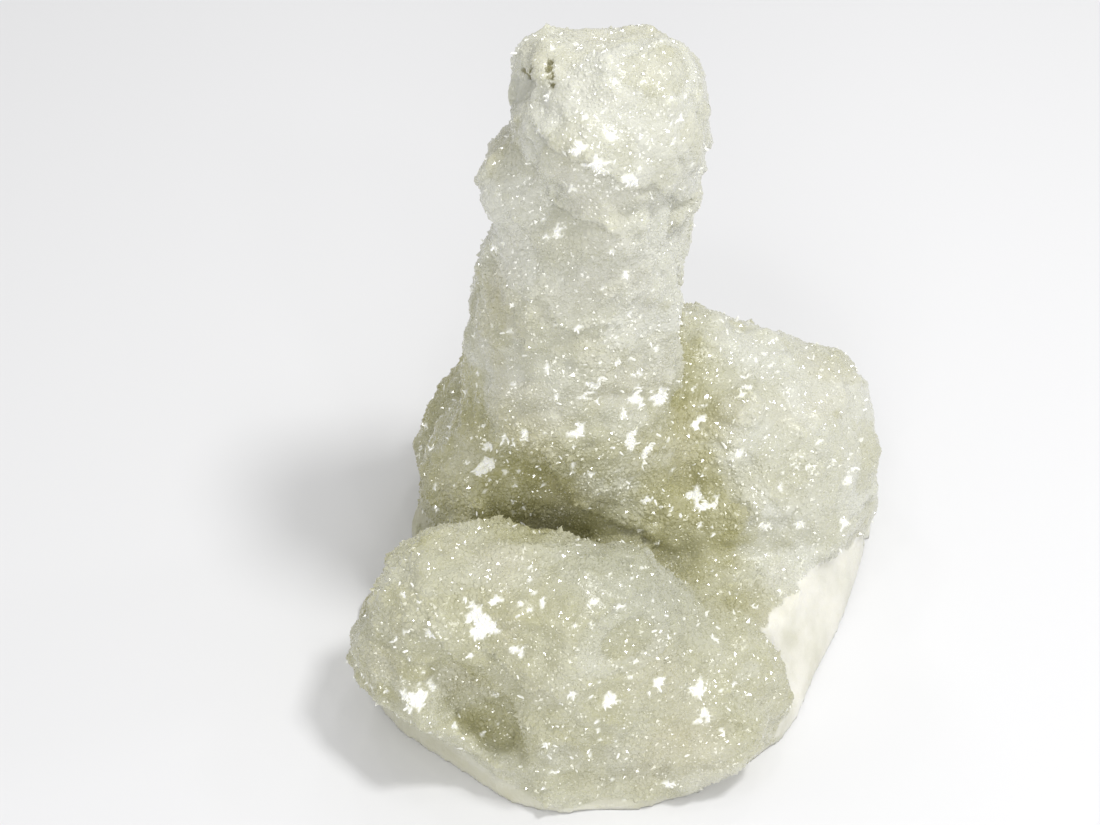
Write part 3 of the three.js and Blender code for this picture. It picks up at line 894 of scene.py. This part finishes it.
def druse_tree():
    """Geometry nodes that stand points on a surface. Named attributes steer them: cover is how
    densely they stand, coarse is how wide they are and relief how far they lean and rise."""
    tree = bpy.data.node_groups.new("quartz druse", "GeometryNodeTree")
    face = tree.interface
    face.new_socket("Geometry", in_out="INPUT", socket_type="NodeSocketGeometry")
    for name, kind in (
        ("Kinds", "NodeSocketCollection"),
        ("Material", "NodeSocketMaterial"),
        ("Spacing", "NodeSocketFloat"),
        ("Widest", "NodeSocketFloat"),
        ("Tilt", "NodeSocketFloat"),
        ("Seed", "NodeSocketInt"),
    ):
        face.new_socket(name, in_out="INPUT", socket_type=kind)
    face.new_socket("Geometry", in_out="OUTPUT", socket_type="NodeSocketGeometry")
    given = add_node(tree, "NodeGroupInput").outputs

    known = {}
    for name in ("cover", "coarse", "relief", "frost"):
        node = add_node(tree, "GeometryNodeInputNamedAttribute", {"Name": name}, data_type="FLOAT")
        known[name] = node.outputs["Attribute"]
    # a seed of its own for each random draw, in this order
    seeds = {}
    draws = ("turn", "width", "height", "plain kind", "stray frost", "needle kind", "proud")
    for salt, name in enumerate(draws, 1):
        node = add_node(tree, "ShaderNodeMath", {0: given["Seed"], 1: salt}, operation="ADD")
        seeds[name] = node.outputs[0]
    plain_kinds = len(POINT_KINDS) - NEEDLE_KINDS
    random = {}
    # the inputs and the output that a draw uses depend on its type
    for name, kind, low_input, output, low, high in (
        ("width", "FLOAT", 2, 1, LEAST_WIDTH, 1.0),
        ("height", "FLOAT", 2, 1, *HEIGHT_RANGE),
        ("stray frost", "FLOAT", 2, 1, 0.0, 1.0),
        ("proud", "FLOAT", 2, 1, 0.0, 1.0),
        ("plain kind", "INT", 4, 2, 0, plain_kinds - 1),
        ("needle kind", "INT", 4, 2, plain_kinds, len(POINT_KINDS) - 1),
    ):
        node = add_node(
            tree,
            "FunctionNodeRandomValue",
            {low_input: low, low_input + 1: high, "Seed": seeds[name]},
            data_type=kind,
        )
        random[name] = node.outputs[output]

    # where the points stand
    spacing = given["Spacing"]
    room = add_node(tree, "ShaderNodeMath", {0: spacing, 1: spacing}, operation="MULTIPLY")
    crowd = add_node(tree, "ShaderNodeMath", {0: 2.0, 1: room.outputs[0]}, operation="DIVIDE")
    spots = add_node(
        tree,
        "GeometryNodeDistributePointsOnFaces",
        {
            "Mesh": given["Geometry"],
            "Distance Min": spacing,
            "Density Max": crowd.outputs[0],
            "Density Factor": known["cover"],
            "Seed": given["Seed"],
        },
        distribute_method="POISSON",
    )

    # which of them are painted white, as frost and as highlights in the patches and as painted sparkles
    # among the stray ones
    patch = add_node(tree, "ShaderNodeMath", {0: known["frost"], 1: 0.5}, operation="GREATER_THAN")
    stray = add_node(
        tree,
        "ShaderNodeMath",
        {0: random["stray frost"], 1: 1 - STRAY_FROST_AND_SPARKLE},
        operation="GREATER_THAN",
    )
    either = add_node(
        tree, "ShaderNodeMath", {0: patch.outputs[0], 1: stray.outputs[0]}, operation="MAXIMUM"
    )
    snowy_and_glinting = either.outputs[0]
    tinted_spots = add_node(
        tree,
        "GeometryNodeStoreNamedAttribute",
        {"Geometry": spots.outputs["Points"], "Name": "frost", "Value": snowy_and_glinting},
        data_type="FLOAT",
        domain="POINT",
    )

    # how proud they stand and how far they lean
    proud = add_node(
        tree, "ShaderNodeMath", {0: random["proud"], 1: 1 - PROUD_SHARE}, operation="GREATER_THAN"
    )
    raised = add_node(
        tree,
        "ShaderNodeMath",
        {0: proud.outputs[0], 1: PROUD_RISE, 2: 1.0},
        operation="MULTIPLY_ADD",
    )
    relief = add_node(
        tree, "ShaderNodeMath", {0: known["relief"], 1: raised.outputs[0]}, operation="MULTIPLY"
    )

    # a plain point's lean, width, height and kind, and a needle's
    chosen = {}
    for name, plain, needle in (
        ("lean", relief.outputs[0], NEEDLE_LEAN),
        ("width", known["coarse"], NEEDLE_WIDTH),
        ("height", relief.outputs[0], NEEDLE_HEIGHT),
        ("kind", random["plain kind"], random["needle kind"]),
    ):
        node = add_node(tree, "ShaderNodeMix", {0: snowy_and_glinting, 2: plain, 3: needle}, data_type="FLOAT")
        chosen[name] = node.outputs[0]

    tilt = add_node(tree, "ShaderNodeMath", {0: given["Tilt"], 1: chosen["lean"]}, operation="MULTIPLY")
    lean = add_node(tree, "ShaderNodeCombineXYZ", {0: tilt.outputs[0], 1: tilt.outputs[0], 2: math.pi})
    unlean = add_node(
        tree, "ShaderNodeVectorMath", {0: lean.outputs[0], 1: (-1, -1, -1)}, operation="MULTIPLY"
    )
    way = add_node(
        tree,
        "FunctionNodeRandomValue",
        {0: unlean.outputs[0], 1: lean.outputs[0], "Seed": seeds["turn"]},
        data_type="FLOAT_VECTOR",
    )
    turn = add_node(tree, "FunctionNodeEulerToRotation", {0: way.outputs[0]})
    turned = add_node(
        tree,
        "FunctionNodeRotateRotation",
        {"Rotation": spots.outputs["Rotation"], "Rotate By": turn.outputs[0]},
        rotation_space="LOCAL",
    )

    # their size: each starts from the widest and is multiplied down
    width = given["Widest"]
    for factor in (random["width"], chosen["width"]):
        width = add_node(tree, "ShaderNodeMath", {0: width, 1: factor}, operation="MULTIPLY").outputs[0]
    tall = width
    for factor in (chosen["height"], random["height"]):
        tall = add_node(tree, "ShaderNodeMath", {0: tall, 1: factor}, operation="MULTIPLY").outputs[0]
    size = add_node(tree, "ShaderNodeCombineXYZ", {0: width, 1: width, 2: tall})

    kinds = add_node(
        tree,
        "GeometryNodeCollectionInfo",
        {"Collection": given["Kinds"], "Separate Children": True, "Reset Children": True},
    )
    crust = add_node(
        tree,
        "GeometryNodeInstanceOnPoints",
        {
            "Points": tinted_spots.outputs[0],
            "Instance": kinds.outputs[0],
            "Pick Instance": True,
            "Instance Index": chosen["kind"],
            "Rotation": turned.outputs[0],
            "Scale": size.outputs[0],
        },
    )
    real = add_node(tree, "GeometryNodeRealizeInstances", {0: crust.outputs[0]})
    dressed = add_node(
        tree, "GeometryNodeSetMaterial", {"Geometry": real.outputs[0], "Material": given["Material"]}
    )
    add_node(tree, "NodeGroupOutput", {0: dressed.outputs[0]})
    return tree


REGIONS = ("crown", "shaft", "pillow", "dome", "foot", "back")


def region_of(places):
    """Which stretch of the crust each place belongs to, as an index into REGIONS."""
    x, y, z = (places / MM).T
    region = np.full(len(places), REGIONS.index("foot"))
    region[(y > 22) & (z < 62)] = REGIONS.index("back")
    region[(x > 16) & (y > -30) & (z < 78)] = REGIONS.index("dome")
    region[(y < -24) & (z < 62)] = REGIONS.index("pillow")
    region[(z >= 62) & (x < 26)] = REGIONS.index("shaft")
    region[z >= 106] = REGIONS.index("crown")
    return region


def ground_for(stone, region, wanted):
    """The stretch of the stone's skin that one piece of druse grows on."""
    shape = bmesh.new()
    shape.from_mesh(stone.data)
    outside = [face for face in shape.faces if region[face.verts[0].index] != wanted]
    bmesh.ops.delete(shape, geom=outside, context="FACES")
    mesh = bpy.data.meshes.new("ground")
    shape.to_mesh(mesh)
    shape.free()
    return new_object("ground", mesh)


class QUARTZ_OT_druse(bpy.types.Operator):
    """Grows the crust of quartz points on the stone"""

    bl_idname = "quartz.druse"
    bl_label = "Druse"

    def execute(self, context):
        settings = context.scene.quartz_druse
        stone = bpy.data.objects["quartz_stone"]
        places = corners_of(stone.data)
        smooth = attribute_of(stone.data, "smooth")
        bare = attribute_of(stone.data, "bare")
        cover = np.where(np.maximum(smooth, bare) > 0.45, 0.0, 1.0)
        patchy = noise_at(places, 11 * MM, 91.0) + 0.5 * noise_at(places, 4 * MM, 17.0)
        rough = smoothstep(-0.35, 0.35, patchy)
        coarse = 0.55 + 0.4 * rough
        calm = smoothstep(0.25, -0.25, noise_at(places, 13 * MM, 149.0))
        x, y, z = places.T
        on_dome = smoothstep(14 * MM, 30 * MM, x) * smoothstep(-20 * MM, -8 * MM, y)
        even = np.maximum(smoothstep(112 * MM, 132 * MM, z), on_dome)
        relief = (0.75 - 0.35 * calm) * (1 - 0.3 * even)
        set_attribute(stone.data, "cover", cover)
        set_attribute(stone.data, "coarse", coarse)
        set_attribute(stone.data, "relief", relief)
        region = region_of(places)
        kinds = point_kinds()
        tree = druse_tree()
        material = drusy_quartz(context.scene.quartz_stone)
        sockets = [item for item in tree.interface.items_tree if item.in_out == "INPUT"]
        inputs = {item.name: item.identifier for item in sockets}
        for number, name in enumerate(REGIONS):
            ground = ground_for(stone, region, number)
            growth = ground.modifiers.new("druse", "NODES")
            growth.node_group = tree
            for label, value in (
                ("Kinds", kinds),
                ("Material", material),
                ("Spacing", settings.spacing),
                ("Widest", settings.widest),
                ("Tilt", settings.tilt),
                ("Seed", settings.seed + number),
            ):
                growth[inputs[label]] = value
            mesh = evaluated_mesh(ground)
            ground.modifiers.remove(growth)
            remove_object(ground)
            if not mesh.polygons:
                raise RuntimeError(f"no druse grew on the {name}")
            mesh.name = f"druse_on_{name}"
            crust = new_object(f"druse_on_{name}", mesh)
            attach(crust, BODY)
            # real points pass the light on to the milky stone, so these throw no shade on it
            crust.visible_shadow = False
            crust.visible_diffuse = False
            crust.visible_glossy = False
        for thing in list(kinds.objects):
            remove_object(thing)
        bpy.data.collections.remove(kinds)
        return {"FINISHED"}


# ---------------------------------------------------------------------------------------------
# The stage
# ---------------------------------------------------------------------------------------------

TABLE_HALF = 4.0  # half the table's width, in metres
TABLE_GAP = 0.02 * MM  # how far the table lies under the sawn face
LIGHTS_AIM = (0, 0, 60 * MM)
AMBIENT = 0.58  # strength of the soft light from all round
# The large lights: place, width in metres and watts.
LIGHTS = {
    "window": ((0.31, -0.03, 0.81), 0.14, 3.1),
    "room": ((-0.05, -0.85, 0.42), 0.50, 2.5),
}
# Small ceiling spots, which give the points their glints: azimuth from +X and elevation, in degrees.
SPOTS = (
    (-60, 50),
    (-110, 62),
    (20, 48),
    (70, 55),
    (130, 60),
    (-20, 66),
    (60, 78),
    (-150, 70),
    (100, 38),
    (-90, 36),
)
SPOT_DISTANCE = 0.85  # from the middle of the sawn face, in metres
SPOT_WIDTH = 0.075
SPOT_WATTS = 0.2


def area_light(name, place, size, watts):
    """A round white lamp that faces the stone."""
    light = bpy.data.lights.new(name, "AREA")
    light.shape = "DISK"
    light.size = size
    light.energy = watts
    thing = bpy.data.objects.new(name, light)
    bpy.context.scene.collection.objects.link(thing)
    thing.location = place
    thing.rotation_euler = (Vector(LIGHTS_AIM) - Vector(place)).to_track_quat("-Z", "Y").to_euler()
    return thing


class QUARTZ_OT_stage(bpy.types.Operator):
    """Sets the table, the light and the camera"""

    bl_idname = "quartz.stage"
    bl_label = "Stage"

    def execute(self, context):
        settings = context.scene.quartz_stage
        scene = context.scene
        table = bpy.data.meshes.new("table")
        half = TABLE_HALF
        corners = [(-half, -half, 0), (half, -half, 0), (half, half, 0), (-half, half, 0)]
        table.from_pydata(corners, [], [(0, 1, 2, 3)])
        material, tree, shader = new_material("matt white laminate")
        shader.inputs["Base Color"].default_value = (*settings.table, 1)
        shader.inputs["Roughness"].default_value = 0.6
        shader.inputs["Specular IOR Level"].default_value = 0.2
        table.materials.append(material)
        floor = new_object("table", table)
        floor.location.z = -TABLE_GAP

        world = bpy.data.worlds.new("soft room")
        world.use_nodes = True
        world.node_tree.nodes["Background"].inputs[0].default_value = (*linear("#ffffff"), 1)
        world.node_tree.nodes["Background"].inputs[1].default_value = AMBIENT
        scene.world = world
        for name, (place, size, watts) in LIGHTS.items():
            area_light(name, place, size, watts)
        for number, (azimuth, elevation) in enumerate(SPOTS):
            across = math.cos(math.radians(elevation)) * SPOT_DISTANCE
            place = Vector(
                (
                    across * math.cos(math.radians(azimuth)),
                    across * math.sin(math.radians(azimuth)),
                    math.sin(math.radians(elevation)) * SPOT_DISTANCE,
                )
            )
            area_light(f"spot_{number}", place, SPOT_WIDTH, SPOT_WATTS)

        lens = bpy.data.cameras.new("camera")
        lens.lens = settings.lens
        lens.sensor_width = SENSOR_WIDTH
        lens.clip_start = 0.01
        camera = bpy.data.objects.new("camera", lens)
        scene.collection.objects.link(camera)
        camera.location = front_camera(settings)[0]
        camera.rotation_euler = (math.pi / 2 - settings.elevation, 0, 0)
        scene.camera = camera
        scene.view_settings.view_transform = "Standard"
        return {"FINISHED"}


# ---------------------------------------------------------------------------------------------
# The sidebar and the run
# ---------------------------------------------------------------------------------------------


class QUARTZ_PT_sidebar(bpy.types.Panel):
    """Lists the pieces of the specimen and their settings"""

    bl_label = "Drusy quartz"
    bl_idname = "QUARTZ_PT_sidebar"
    bl_space_type = "VIEW_3D"
    bl_region_type = "UI"
    bl_category = "Quartz"

    def draw(self, context):
        for operator, settings in (
            ("quartz.stone", context.scene.quartz_stone),
            ("quartz.druse", context.scene.quartz_druse),
            ("quartz.stage", context.scene.quartz_stage),
        ):
            box = self.layout.box()
            box.operator(operator)
            for name in settings.__annotations__:
                box.prop(settings, name)


SETTINGS = {"quartz_stone": StoneSettings, "quartz_druse": DruseSettings, "quartz_stage": StageSettings}
CLASSES = (*SETTINGS.values(), QUARTZ_OT_stone, QUARTZ_OT_druse, QUARTZ_OT_stage, QUARTZ_PT_sidebar)


def register():
    for made in CLASSES:
        bpy.utils.register_class(made)
    for name, group in SETTINGS.items():
        setattr(bpy.types.Scene, name, bpy.props.PointerProperty(type=group))


def unregister():
    for name in SETTINGS:
        delattr(bpy.types.Scene, name)
    for made in reversed(CLASSES):
        bpy.utils.unregister_class(made)


def main():
    register()
    bpy.ops.quartz.stone()
    bpy.ops.quartz.druse()
    bpy.ops.quartz.stage()


if __name__ == "__main__":
    main()
